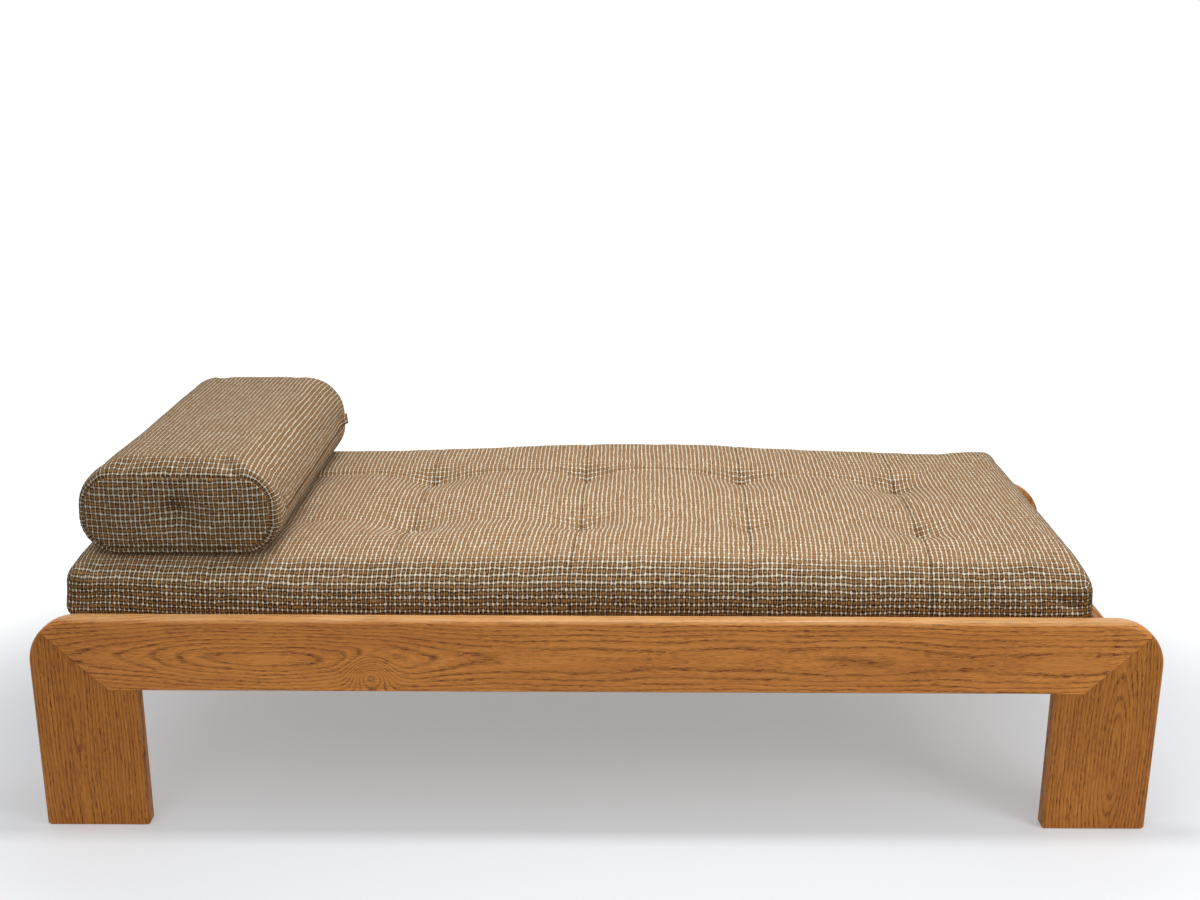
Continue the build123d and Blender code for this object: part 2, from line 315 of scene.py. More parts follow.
class DaybedStage(bpy.types.PropertyGroup):
    key_power: PowerProperty(
        name="Key light", description="Power of the soft light overhead", default=15.0,
    )
    fill_power: PowerProperty(
        name="Fill light", description="Power that the two soft lights at the front share out",
        default=16.0,
    )
    ambient: FloatProperty(
        name="Room light", description="Strength of the light from all round", min=0.0,
        default=0.5,
    )


SETTINGS = {
    "daybed_oak": DaybedOak,
    "daybed_tweed": DaybedTweed,
    "daybed_upholstery": DaybedUpholstery,
    "daybed_stage": DaybedStage,
}


# ---------------- material nodes


class Signal:
    """A shader node's output, which takes part in sums as a number does."""

    def __init__(self, nodes, socket):
        self.nodes, self.socket = nodes, socket

    def __add__(self, other):
        return self.nodes.math("ADD", self, other)

    def __sub__(self, other):
        return self.nodes.math("SUBTRACT", self, other)

    def __rsub__(self, other):
        return self.nodes.math("SUBTRACT", other, self)

    def __mul__(self, other):
        return self.nodes.math("MULTIPLY", self, other)

    def __truediv__(self, other):
        return self.nodes.math("DIVIDE", self, other)

    def __abs__(self):
        return self.nodes.math("ABSOLUTE", self)


class Nodes:
    """Adds nodes to a node tree, their inputs given as values or as other nodes' signals."""

    def __init__(self, tree):
        self.tree = tree

    def feed(self, value, socket):
        if isinstance(value, Signal):
            self.tree.links.new(value.socket, socket)
        else:
            socket.default_value = value

    def add(self, kind, inputs=None, **settings):
        node = self.tree.nodes.new(kind)
        for name, value in settings.items():
            setattr(node, name, value)
        for key, value in (inputs or {}).items():
            self.feed(value, node.inputs[key])
        return node

    def signal(self, kind, inputs=None, which=0, **settings):
        """One output of a new node."""
        return Signal(self, self.add(kind, inputs, **settings).outputs[which])

    def signals(self, kind, inputs=None, **settings):
        """All outputs of a new node, by name."""
        node = self.add(kind, inputs, **settings)
        return {socket.name: Signal(self, socket) for socket in node.outputs}

    def math(self, operation, first, second=0.0, clamp=False):
        values = {0: first, 1: second}
        return self.signal("ShaderNodeMath", values, operation=operation, use_clamp=clamp)

    def larger(self, first, second):
        return self.math("MAXIMUM", first, second)

    def distance(self, first, second):
        return self.math("SQRT", first * first + second * second)

    def bell(self, value):
        """One where the value is nothing, falling away to both sides."""
        return self.math("EXPONENT", value * value * -1.0)

    def step(self, value, low, high, to_low=0.0, to_high=1.0):
        values = {0: value, 1: low, 2: high, 3: to_low, 4: to_high}
        return self.signal("ShaderNodeMapRange", values, interpolation_type="SMOOTHSTEP")

    def line(self, distance, inner, outer):
        """One within the inner distance of a line, and nothing past the outer one."""
        return 1.0 - self.step(distance, inner, outer)

    def scaled(self, vector, scale):
        return self.signal("ShaderNodeVectorMath", {0: vector, 1: scale}, operation="MULTIPLY")

    def noise(self, vector, stretch, detail=2.0, rough=0.5):
        """Cloudy noise, with so many waves to the metre: one number, or one for each axis."""
        scale = 1.0 if isinstance(stretch, tuple) else stretch
        if isinstance(stretch, tuple):
            vector = self.scaled(vector, stretch)
        values = {"Vector": vector, "Scale": scale, "Detail": detail, "Roughness": rough}
        return self.signal("ShaderNodeTexNoise", values)

    def mix(self, factor, first, second):
        return self.signal("ShaderNodeMix", {0: factor, 6: first, 7: second}, 2, data_type="RGBA")

    def split(self, vector):
        outputs = self.add("ShaderNodeSeparateXYZ", {0: vector}).outputs
        return [Signal(self, socket) for socket in outputs]

    def finish(self, shader, **inputs):
        """Feeds a shader's inputs."""
        for label, value in inputs.items():
            self.feed(value, shader.inputs[label.replace("_", " ")])

    def object_place(self):
        return self.signal("ShaderNodeTexCoord", which="Object")

    def bump(self, height, strength, distance):
        values = {"Height": height, "Strength": strength, "Distance": distance}
        return self.signal("ShaderNodeBump", values)


COLOUR = "NodeSocketColor"
FLOAT = "NodeSocketFloat"
SOCKET_KINDS = {3: "NodeSocketVector", 4: COLOUR}


def open_group(name, inputs):
    """A new shader node group with inputs of these defaults: its nodes and its input signals."""
    tree = bpy.data.node_groups.new(name, "ShaderNodeTree")
    for label, default in inputs.items():
        kind = SOCKET_KINDS[len(default)] if isinstance(default, tuple) else FLOAT
        socket = tree.interface.new_socket(label, in_out="INPUT", socket_type=kind)
        socket.default_value = default
    nodes = Nodes(tree)
    return nodes, nodes.signals("NodeGroupInput")


def close_group(nodes, results):
    """Ends a shader node group with its named outputs."""
    for label in results:
        kind = COLOUR if label == "Color" else FLOAT
        nodes.tree.interface.new_socket(label, in_out="OUTPUT", socket_type=kind)
    nodes.add("NodeGroupOutput", results)
    return nodes.tree


def wood_grain():
    """Growth rings round a leaning, wandering pith, cut through by the board, with open pores.

    The pith comes nearer to the board's face at the eye, so the rings close there into a flame.
    """
    if "Wood grain" in bpy.data.node_groups:
        return bpy.data.node_groups["Wood grain"]
    nodes, start = open_group("Wood grain", {
        "Vector": (0, 0, 0), "Pith Height": 0.0, "Pith Depth": 0.05, "Eye": 0.0,
        "Eye Place": 0.0, "Eye Length": 0.25, "Ring Width": 0.006, "Wander": 0.03, "Swell": 0.03,
        "Knot": (9, 9, 9), "Pores": 1.0, "Light": (0.5, 0.25, 0.08, 1),
        "Dark": (0.3, 0.12, 0.03, 1), "Pore": (0.1, 0.04, 0.01, 1),
    })
    board = start["Vector"]
    x, y, z = nodes.split(board)

    drift = (nodes.noise(board, (2.0, 4.0, 4.0)) - 0.5) * start["Wander"]
    lean = (nodes.noise(board, (3.4, 0.8, 0.8), detail=1.0) - 0.5) * start["Swell"]
    across = y - start["Pith Height"] + drift
    at_eye = nodes.bell((x - start["Eye Place"]) / start["Eye Length"])
    depth = at_eye * start["Eye"] + (z + lean) + start["Pith Depth"]
    radius = nodes.distance(across, depth)

    knot_radius, knot_push = 0.03, 0.045
    from_knot = nodes.signal(
        "ShaderNodeVectorMath", {0: nodes.scaled(board, (0.85, 1.0, 0.0)), 1: start["Knot"]},
        "Value", operation="DISTANCE",
    )
    radius = nodes.bell(from_knot / knot_radius) * knot_push + radius
    radius = nodes.noise(board, (15.0, 60.0, 60.0), detail=3.0, rough=0.65) * 0.0052 + radius
    radius = nodes.noise(board, (110.0, 330.0, 330.0)) * 0.0022 + radius
    ring = nodes.math("FRACT", radius / start["Ring Width"])

    band = nodes.step(ring, 0.0, 0.06) * nodes.line(ring, 0.16, 0.52)
    pores = nodes.step(nodes.noise(board, (60.0, 420.0, 420.0), detail=1.0), 0.46, 0.62)
    patchy = nodes.step(nodes.noise(board, (9.0, 90.0, 90.0)), 0.34, 0.62)
    fibre = nodes.noise(board, (26.0, 520.0, 520.0), detail=3.0, rough=0.65)
    streak = nodes.noise(board, (5.0, 110.0, 110.0), detail=3.0, rough=0.6)
    cloud = nodes.noise(board, (2.4, 12.0, 12.0), detail=3.0)

    late_wood = nodes.step(ring, 0.4, 1.0)
    tone = fibre * 0.55 + streak * 0.45 + cloud * 0.45 + late_wood * 0.12
    colour = nodes.mix(nodes.step(tone, 0.5, 1.02), start["Light"], start["Dark"])
    ring_mark = band * (pores * 0.45 + 0.55) * (patchy * 0.45 + 0.55)
    speck = pores * (patchy * 0.30 + 0.08)
    mark = nodes.math("MULTIPLY", nodes.larger(ring_mark, speck), start["Pores"], clamp=True)
    return close_group(nodes, {
        "Color": nodes.mix(mark, colour, start["Pore"]),
        "Roughness": mark * 0.25 + (fibre * 0.1 + 0.32),
        "Height": fibre * 0.25 - mark,
    })


def tweed_weave():
    """Cream threads both ways over a brown ground, with a rust thread in each opening.

    Level is 1 where the cloth lies flat, so that its lengthwise threads stand out, and paints
    the flat cloth a little lighter. Upward is 1 where it faces up and 0 on upright cloth: it
    paints light and shade, the cloth lighter where it faces up and darker where it stands
    upright or faces down, as if its threads shaded the ground from light overhead.
    """
    if "Tweed weave" in bpy.data.node_groups:
        return bpy.data.node_groups["Tweed weave"]
    nodes, start = open_group("Tweed weave", {
        "Vector": (0, 0, 0), "Across": 0.0088, "Along": 0.0119, "Level": 0.0, "Upward": 0.0,
        "Cream": (0.8, 0.7, 0.5, 1), "Rust": (0.5, 0.2, 0.05, 1), "Brown": (0.1, 0.05, 0.02, 1),
    })
    cloth, level, upward = start["Vector"], start["Level"], start["Upward"]
    cream, rust, brown = start["Cream"], start["Rust"], start["Brown"]

    u, v, _ = nodes.split(cloth)
    sway = nodes.noise(cloth, (9.0, 9.0, 1.0))
    shifted = nodes.signal(
        "ShaderNodeVectorMath", {0: nodes.scaled(cloth, (60.0, 130.0, 1.0)), 1: (7, 3, 5)},
        operation="ADD",
    )
    u = u / start["Across"] + sway * 0.7 + nodes.noise(cloth, (150.0, 60.0, 1.0)) * 0.6
    v = v / start["Along"] - sway * 0.6 + nodes.noise(shifted, 1.0) * 0.6
    cell = {0: nodes.math("FLOOR", u), 1: nodes.math("FLOOR", v)}
    chance = nodes.signal(
        "ShaderNodeTexWhiteNoise", {0: nodes.signal("ShaderNodeCombineXYZ", cell)}, "Color",
        noise_dimensions="3D",
    )
    chance_a, chance_b, chance_c = nodes.split(chance)
    from_u = abs(nodes.math("FRACT", u) - 0.5)
    from_v = abs(nodes.math("FRACT", v) - 0.5)

    twice_a_cell = 4 * math.pi
    edge_u = nodes.math("COSINE", v * twice_a_cell) * -0.03 + (level * -0.035 + 0.37)
    edge_v = nodes.math("COSINE", u * twice_a_cell) * -0.03 + (level * 0.02 + 0.37)
    length_thread = nodes.step(from_u - edge_u, -0.05, 0.05)
    cross_thread = nodes.step(from_v - edge_v, -0.05, 0.05)

    blob = nodes.distance(from_u / (chance_c * 0.10 + 0.24), from_v / (level * 0.10 + 0.27))
    rust_thread = nodes.math(
        "MULTIPLY", nodes.line(blob, 0.6, 1.1), chance_a * 0.5 + 0.42, clamp=True
    )
    knot = nodes.step(from_u, 0.24, 0.38) * nodes.step(from_v, 0.22, 0.38)
    # Painted light and shade: threads are painted lighter on cloth that faces up and lies level, and
    # darker on upright cloth
    bright = upward * 0.36 + level * 0.10 + knot * 0.75 + 0.25
    bright = nodes.math("MULTIPLY", bright, chance_b * 0.3 + 0.82, clamp=True)
    thread = nodes.mix(bright, nodes.mix(0.35, brown, rust), cream)

    ground = nodes.mix(rust_thread, brown, rust)
    # Painted light: on cloth that faces up the ground is painted lighter, towards rust and cream
    painted_light = nodes.mix(rust_thread * 0.26, rust, cream)
    colour = nodes.mix(upward * (level * 0.34 + 0.16), ground, painted_light)
    colour = nodes.mix(cross_thread * (level * -0.30 + 0.76), colour, thread)
    colour = nodes.mix(length_thread * 0.95, colour, thread)
    height = nodes.larger(length_thread, cross_thread * 0.85)
    height = nodes.larger(height, rust_thread * 0.6) + knot * 0.3
    return close_group(nodes, {"Color": colour, "Height": height})


def material(name, **uniform):
    """A new material: its nodes and its Principled shader, with uniform values set on it."""
    made = bpy.data.materials.new(name)
    made.use_nodes = True
    shader = made.node_tree.nodes["Principled BSDF"]
    for label, value in uniform.items():
        shader.inputs[label.replace("_", " ")].default_value = value
    return made, Nodes(made.node_tree), shader


def shaded(colour, shade):
    """A colour made lighter or darker."""
    return [min(channel * shade, 1.0) for channel in colour]


def wood(name, turn, shift, colours, coat=0.0, joint_lines_and_highlight=False, **grain):
    """A wood material for one board, its grain turned and shifted to suit it."""
    made, nodes, shader = material(
        name, Coat_Weight=coat, Coat_Roughness=0.1, Specular_IOR_Level=0.1
    )
    place = nodes.object_place()
    values = {"Vector": place, "Rotation": turn.to_euler(), "Location": shift}
    inputs = {"Vector": nodes.signal("ShaderNodeMapping", values)}
    inputs.update(zip(("Light", "Dark", "Pore"), colours))
    inputs.update({label.replace("_", " "): value for label, value in grain.items()})
    group = nodes.signals("ShaderNodeGroup", inputs, node_tree=wood_grain())
    colour = group["Color"]
    # The joint lines are the glue's own dark; the pale top edge is a painted highlight
    if joint_lines_and_highlight:
        colour = nodes.mix(painted_edge_highlight(nodes, place), colour, OAK_HIGHLIGHT)
        colour = nodes.mix(mitre_line(nodes, place), colour, colours[2])
    bump = nodes.bump(group["Height"], *GRAIN_BUMP)
    nodes.finish(shader, Base_Color=colour, Roughness=group["Roughness"], Normal=bump)
    return made


def painted_edge_highlight(nodes, place):
    """A mask along the top of the frame, where a painted highlight makes the rounded edge paler."""
    from_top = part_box("front_rail")[1].z - nodes.split(place)[2]
    painted_light = nodes.step(nodes.noise(place, (9.0, 9.0, 9.0)), 0.3, 0.7, 0.22, 0.4)
    return nodes.step(from_top, *EDGE_HIGHLIGHT) * painted_light


def mitre_line(nodes, place):
    """A mask along the frame's glued mitres and level shoulders."""
    low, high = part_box("front_rail")
    x, _, z = nodes.split(place)
    from_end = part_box("leg_front_right")[1].x - abs(x)
    mitre = nodes.line(abs(from_end - (high.z - z)), *JOINT_LINE)
    mitre = mitre * nodes.math("GREATER_THAN", z, low.z)
    shoulder = nodes.line(abs(z - low.z), *JOINT_LINE)
    shoulder = shoulder * nodes.math("GREATER_THAN", from_end, high.z - low.z)
    return nodes.larger(mitre, shoulder) * 0.4


def cloth_lie(nodes, wrapped):
    """How level the cloth lies, and how far it faces up, or round a wrapped roll, out: the measures by
    which the weave paints its light and shade.
    """
    normal = nodes.signal("ShaderNodeNewGeometry", which="Normal")
    _, along, up = nodes.split(normal)
    if not wrapped:
        return nodes.step(up, 0.72, 0.99), nodes.step(up, 0.12, 0.78)
    wrap = nodes.signal("ShaderNodeAttribute", which="Fac", attribute_name="wrapped")
    return nodes.step(abs(along), 0.68, 0.14), wrap * nodes.step(up, -0.5, 0.0)


def painted_seam_shade(nodes, cloth):
    """A broken mask along the mattress's seams, where painted shade darkens the seam grooves."""
    u, _, _ = nodes.split(cloth)
    inside = nodes.math("LESS_THAN", abs(u), 2.5 * SEAM_PITCH)
    within_pitch = nodes.math("FLOORED_MODULO", u + SEAM_PITCH / 2, SEAM_PITCH)
    seam = nodes.line(abs(within_pitch - SEAM_PITCH / 2), 0.0006, 0.0022)
    broken = nodes.step(nodes.noise(cloth, (50.0, 75.0, 1.0)), 0.38, 0.6, 0.12, 0.6)
    return seam * inside * broken


def tweed(name, shade=1.0, seams=False, wrapped=False):
    """The tweed material, reading the cloth's own map in metres."""
    settings = bpy.context.scene.daybed_tweed
    made, nodes, shader = material(
        name, Roughness=0.95, Sheen_Weight=0.02, Sheen_Roughness=0.5, Specular_IOR_Level=0.05
    )
    cloth = nodes.signal("ShaderNodeUVMap", uv_map="weave")
    level, upward = cloth_lie(nodes, wrapped)
    # A shade below one gives a darker copy of the tweed, which is painted shade
    group = nodes.signals("ShaderNodeGroup", {
        "Vector": cloth, "Level": level, "Upward": upward, "Across": settings.across,
        "Along": settings.along, "Cream": shaded(settings.cream, shade),
        "Rust": shaded(settings.rust, shade), "Brown": settings.brown,
    }, node_tree=tweed_weave())
    colour = group["Color"]
    # Painted shade: the seam grooves are painted in the ground's brown
    if seams:
        colour = nodes.mix(painted_seam_shade(nodes, cloth), colour, settings.brown)
    nodes.finish(shader, Base_Color=colour, Normal=nodes.bump(group["Height"], *WEAVE_BUMP))
    return made


def foam():
    made, nodes, shader = material("foam", Roughness=0.95)
    place = nodes.object_place()
    cells = nodes.signal("ShaderNodeTexVoronoi", {"Vector": place, "Scale": 700.0}, "Distance")
    colour = nodes.mix(nodes.noise(place, 18.0), (0.83, 0.72, 0.42, 1), (0.72, 0.58, 0.30, 1))
    colour = nodes.mix(nodes.step(cells, 0.25, 0.0), colour, (0.45, 0.36, 0.2, 1))
    nodes.finish(shader, Base_Color=colour, Normal=nodes.bump(cells, *FOAM_BUMP))
    return made


def twine():
    made, nodes, shader = material("twine", Roughness=0.8)
    twist = nodes.signal(
        "ShaderNodeTexWave", {"Vector": nodes.object_place(), "Scale": 260.0, "Distortion": 1.5},
        "Fac", bands_direction="DIAGONAL",
    )
    colour = nodes.mix(twist, (0.42, 0.36, 0.25, 1), (0.74, 0.68, 0.54, 1))
    nodes.finish(shader, Base_Color=colour)
    return made


def screw_steel():
    made, nodes, shader = material("screw steel", Metallic=1.0)
    place = nodes.object_place()
    stain = nodes.noise(place, 60.0)
    wear = nodes.noise(place, 420.0, detail=4.0)
    colour = nodes.mix(stain, (0.70, 0.62, 0.42, 1), (0.55, 0.52, 0.45, 1))
    rough = nodes.step(wear, 0.2, 0.8, 0.25, 0.55)
    nodes.finish(shader, Base_Color=colour, Roughness=rough)
    return made


def finish_once(name, build):
    """The finish of this name, which is built when it is first asked for."""
    return bpy.data.materials.get(name) or build()


def dress(node_name, finish):
    """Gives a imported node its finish."""
    for material_slot in cad_nodes[node_name].material_slots:
        material_slot.material = finish


def timber(*starts):
    """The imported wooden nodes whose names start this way."""
    found = [
        name for name in sorted(cad_nodes)
        if name.startswith(starts) and not name.endswith("_screws")
    ]
    if not found:
        raise RuntimeError(f"the frame has no node that starts with {starts}")
    return found


# ---------------- covers


def cloth_length(half, radius, turn=math.pi / 4):
    """Half the length of cloth over a side that bends by this turn at each end."""
    return half - radius * (1 - turn)


def spread(place, half, radius, turn=math.pi / 4):
    """Turns a place on the flat cloth into one on the sharp block that it covers."""
    beyond = abs(place) - (half - radius)
    if beyond <= 0:
        return place
    return math.copysign(half - radius + beyond / turn, place)


def evenly(low, high, step):
    """Places that cut a length into equal cells of about one step."""
    count = max(1, round((high - low) / step))
    return [low + (high - low) * index / count for index in range(1, count)]


def weave_place(place, normal, low, high):
    """Where a point of the cloth box lies on the cloth laid flat."""
    x, y, z = place
    if abs(normal.x) > 0.5:
        edge = high.x if normal.x > 0 else low.x
        return edge + math.copysign(high.z - z, normal.x), y
    if abs(normal.y) > 0.5:
        edge = high.y if normal.y > 0 else low.y
        return x, edge + math.copysign(high.z - z, normal.y)
    return x, y


def cloth_box(low, high, cuts):
    """A closed box of cloth cut through at the given places, with its flat map."""
    bm = bmesh.new()
    bmesh.ops.create_cube(bm, size=1.0)
    bmesh.ops.scale(bm, vec=high - low, verts=bm.verts)
    bmesh.ops.translate(bm, vec=(high + low) / 2, verts=bm.verts)
    for axis, places in enumerate(cuts):
        across = Vector([float(axis == other) for other in range(3)])
        for place in places:
            bmesh.ops.bisect_plane(
                bm, geom=bm.verts[:] + bm.edges[:] + bm.faces[:], dist=TOUCH,
                plane_co=across * place, plane_no=across,
            )
    bm.normal_update()
    weave = bm.loops.layers.uv.new("weave")
    flat = bm.verts.layers.float_vector.new("flat")
    for vert in bm.verts:
        vert[flat] = vert.co
    for face in bm.faces:
        for loop in face.loops:
            loop[weave].uv = weave_place(loop.vert.co, face.normal, low, high)
    return bm


class Block:
    """A block with rounded upright corners and rounded end edges, centred on the origin.

    Its upright axis is 0, 1 or 2. The seams round its two ends run where the surface has turned
    away from them by seam_turn.
    """

    def __init__(self, half, corner, edges, upright, seam_turn=math.pi / 4):
        self.half, self.corner, self.edges, self.upright = half, corner, edges, upright
        self.plan = [axis for axis in range(3) if axis != upright]
        self.seam_turn = seam_turn
        self.side_turn = math.pi / 2 - seam_turn

    def cloth_corners(self):
        """The lowest and highest corner of the box that the flat cloth makes."""
        low, high = Vector(), Vector()
        for axis in self.plan:
            high[axis] = cloth_length(self.half[axis], self.corner)
            low[axis] = -high[axis]
        tall, turn = self.half[self.upright], self.side_turn
        high[self.upright] = cloth_length(tall, self.edges[1], turn)
        low[self.upright] = -cloth_length(tall, self.edges[0], turn)
        return low, high

    def place(self, flat):
        """The block's surface point for a point of the cloth box, and the way out there."""
        one, two = [spread(flat[axis], self.half[axis], self.corner) for axis in self.plan]
        edge = self.edges[flat[self.upright] > 0]
        up = spread(flat[self.upright], self.half[self.upright], edge, self.side_turn)
        core_one, core_two = [self.half[axis] - self.corner for axis in self.plan]
        over_one, over_two = abs(one) - core_one, abs(two) - core_two
        if over_one > 0 and over_two > 0:
            reach = max(over_one, over_two)
            share = over_two / over_one if over_one >= over_two else 2 - over_one / over_two
            turn = share * math.pi / 4
            out = (math.copysign(math.cos(turn), one), math.copysign(math.sin(turn), two))
            one = math.copysign(core_one, one) + reach * out[0]
            two = math.copysign(core_two, two) + reach * out[1]
            inset = self.corner - reach
        elif over_one > over_two:
            inset, out = self.corner - over_one, (math.copysign(1, one), 0.0)
        else:
            inset, out = self.corner - over_two, (0.0, math.copysign(1, two))
        drop = self.half[self.upright] - abs(up)
        lean = 0.0
        if inset < edge and drop < 1e-7:
            lean = self.seam_turn * (1 - inset / edge)
        elif inset < 1e-7:
            lean = self.seam_turn + self.side_turn * min(drop / edge, 1.0)
        if 0 < lean < math.pi / 2:
            pulled_in = edge * (1 - math.sin(lean)) - max(inset, 0.0)
            one -= out[0] * pulled_in
            two -= out[1] * pulled_in
            up = math.copysign(self.half[self.upright] - edge * (1 - math.cos(lean)), up)
        point, way = Vector(), Vector()
        for axis, value, share in zip(self.plan, (one, two), out):
            point[axis] = value
            way[axis] = share * math.sin(lean)
        point[self.upright] = up
        way[self.upright] = math.copysign(math.cos(lean), up)
        return point, way.normalized()


def piece_from(bm, name, finish):
    """A new smooth piece in the scene from a bmesh, with its finish."""
    mesh = bpy.data.meshes.new(name)
    bm.to_mesh(mesh)
    bm.free()
    mesh.shade_smooth()
    mesh.materials.append(finish)
    piece = bpy.data.objects.new(name, mesh)
    bpy.context.scene.collection.objects.link(piece)
    return piece


def inflate(piece, held, swell):
    """Swells a cover by cloth simulation, holding some of its points, and applies the result."""
    settings = bpy.context.scene.daybed_upholstery
    group = piece.vertex_groups.new(name="held")
    for index, weight in enumerate(held):
        if weight > 0:
            group.add([index], min(weight, 1.0), "REPLACE")
    modifier = piece.modifiers.new("swell", "CLOTH")
    cloth = modifier.settings
    for label, value in CLOTH.items():
        setattr(cloth, label, value)
    cloth.uniform_pressure_force = settings.pressure
    cloth.effector_weights.gravity = 0.0
    cloth.vertex_group_mass = group.name
    modifier.point_cache.frame_start = 1
    modifier.point_cache.frame_end = settings.frames
    scene = bpy.context.scene
    for step in range(1, settings.frames + 1):
        scene.frame_set(step)
    graph = bpy.context.evaluated_depsgraph_get()
    swollen = [vert.co.copy() for vert in piece.evaluated_get(graph).data.vertices]
    piece.modifiers.clear()
    piece.vertex_groups.clear()
    for vert, place in zip(piece.data.vertices, swollen):
        move = place - vert.co
        if move.length > swell:
            move *= swell / move.length
        vert.co += move
    scene.frame_set(1)


def refine(piece):
    """One smooth subdivision, applied."""
    smooth = piece.modifiers.new("smooth", "SUBSURF")
    smooth.levels = 1
    smooth.render_levels = 1
    graph = bpy.context.evaluated_depsgraph_get()
    mesh = bpy.data.meshes.new_from_object(
        piece.evaluated_get(graph), preserve_all_data_layers=True, depsgraph=graph
    )
    piece.modifiers.clear()
    piece.data = mesh


def nudge(piece, shift):
    """Moves each point of a piece along its normal by what shift says of its flat place."""
    mesh = piece.data
    flats = mesh.attributes["flat"].data
    normals = [vert.normal.copy() for vert in mesh.vertices]
    for vert, normal, flat in zip(mesh.vertices, normals, flats):
        vert.co += normal * shift(flat.vector)
    mesh.update()


def ridge(distance, width, height=1.0):
    """A sharp line of this height, falling to nothing away from it."""
    return height * math.exp(-abs(distance) / width)


def mound(distance, width, height=1.0):
    """A round rise of this height, falling to nothing away from it."""
    return height * math.exp(-((distance / width) ** 2))


def bumps(flat, height, waves, start=(0, 0, 0)):
    """Soft unevenness with so many waves to the metre along each axis."""
    spot = [value * count + first for value, count, first in zip(flat, waves, start)]
    return height * noise.noise(Vector(spot))


# ---------------- mattress


def along(points, place):
    """The value at a place along a short line of (place, value) points."""
    if place <= points[0][0]:
        return points[0][1]
    for (start, first), (end, last) in zip(points, points[1:]):
        if place <= end:
            return first + (last - first) * (place - start) / (end - start)
    return points[-1][1]


def cloth_pull(flat, high):
    """How far the loose cover has shifted over the foam at a flat place."""
    x, y, _ = flat
    front, rear = ROW_PLACES
    pulls = (
        (-high.y, 0.0), (front, along(FRONT_ROW_PULL, x)), (rear, along(REAR_ROW_PULL, x)),
        (high.y, 0.0),
    )
    fade = max(0.0, 1 - (abs(x) / high.x) ** 8)
    return Vector((along(SIDE_PULL, y) * fade, along(pulls, y) * fade, 0.0))


def from_lines(flat):
    """How far a flat place lies from the nearest seam and the nearest tuft row."""
    near_seam = min(abs(flat.x - place) for place in SEAM_PLACES)
    return near_seam, abs(abs(flat.y) - ROW_PITCH / 2)


def tuft_relief(flat, high):
    """How far the tufts and the creases between them draw the cloth in at a flat place."""
    drop = high.z - flat.z
    on_top = max(0.0, 1 - drop / TUFT_FADE) if drop > TOUCH else 1.0
    near_seam, near_row = from_lines(flat)
    tuft = math.hypot(near_seam * 0.8, near_row)
    depth = bpy.context.scene.daybed_upholstery.tuft_depth
    hollow = depth * (mound(tuft, *TUFT_BOWL) + ridge(tuft, *TUFT_DIMPLE))
    past_tufts = max(0.0, abs(flat.x) - ROW_REACH)
    crease = ridge(near_row, *ROW_CREASE) * (flat.y < 0)
    row = (crease + mound(near_row, *ROW_FURROW)) * max(0.0, 1 - past_tufts / ROW_FADE)
    deepest = max(hollow, row) + 0.35 * min(hollow, row)
    return on_top * deepest + ridge(near_seam, *SEAM_FURROW)


def front_fall(flat, low):
    """How far the sat-on front edge has sunk at a flat place: less beside the bolster."""
    near_front = max(0.0, 1 - (flat.y - low.y) / MATTRESS_FRONT_REACH)
    free = 1 - mound(flat.x - low.x, 0.3, 0.55)
    return MATTRESS_FRONT_FALL * free * near_front ** 2


def mattress_crown(flat, low, high):
    """How far the filling lifts a flat place: most at the rear, least along the front edge."""
    share = (flat.z - low.z) / (high.z - low.z)
    rearward = 0.5 + 0.5 * flat.y / high.y
    rise = mound(flat.x - MATTRESS_CROWN_PLACE, MATTRESS_CROWN_REACH, MATTRESS_CROWN)
    return (rise * (0.35 + 0.65 * rearward) - front_fall(flat, low)) * share


def ease_front_weave(bm, low, high):
    """Maps the front as cloth that was cut lower there, so that its weave isn't squeezed."""
    weave = bm.loops.layers.uv["weave"]
    flat = bm.verts.layers.float_vector["flat"]
    for face in bm.faces:
        if all(vert[flat].y < low.y + TOUCH for vert in face.verts):
            for loop in face.loops:
                place = loop.vert[flat]
                share = 1 - front_fall(place, low) / (high.z - low.z)
                loop[weave].uv.y = low.y - (high.z - place.z) * share


def end_fullness(flat, low, high):
    """How far the top edges of the two ends swell out."""
    swell = mound(flat.x - low.x, *LEFT_END_SWELL) + mound(flat.x - high.x, *RIGHT_END_SWELL)
    return swell * mound(flat.z - high.z, END_SWELL_HEIGHT)


def tuft_folds(flat, near_seam, near_row):
    """Small folds like a star's rays round the nearest tuft, which is drawn in at its middle."""
    away = math.hypot(near_seam, near_row)
    if away >= TUFT_FOLD_REACH:
        return 0.0
    x, y, _ = flat
    place = min(SEAM_PLACES, key=lambda seam: abs(x - seam))
    turn = math.atan2(abs(y) - ROW_PITCH / 2, x - place) * math.copysign(1, y)
    rays = math.cos(6 * turn + 9 * place) + 0.7 * math.cos(10 * turn + 17 * place + y)
    return rays * ridge(away, *TUFT_FOLDS) * min(1.0, away / 0.008) - mound(away, *TUFT_KNOT)


def mattress_folds(flat, high):
    """Folds round the tufts, puckered seams and soft unevenness everywhere."""
    x, y, z = flat
    shift = bumps(flat, 0.0016, (9, 9, 9), (0, 0, 4)) + bumps(flat, 0.0007, (30, 24, 26))
    near_seam, near_row = from_lines(flat)
    if z > high.z - TUFT_FOLD_DROP:
        shift += tuft_folds(flat, near_seam, near_row)
        shift -= ridge(near_row, *ROW_LINE) * (abs(x) < ROW_LINE_REACH)
    pucker = math.sin(150 * y + 6 * x + 160 * z) * 0.5 + 0.5
    shift -= mound(near_seam, *SEAM_PUCKER) * (1 + pucker)
    return shift + mound(near_seam - SEAM_SHOULDER_PLACE, *SEAM_SHOULDER) * pucker


def with_lines(places, lines, gap):
    """Even cutting places, with closer ones on each line and beside it."""
    close = [line + side * gap for line in lines for side in (-1, 0, 1)]
    clear = gap + LINE_CLEARANCE
    kept = [place for place in places if all(abs(place - line) > clear for line in lines)]
    return sorted(kept + close)


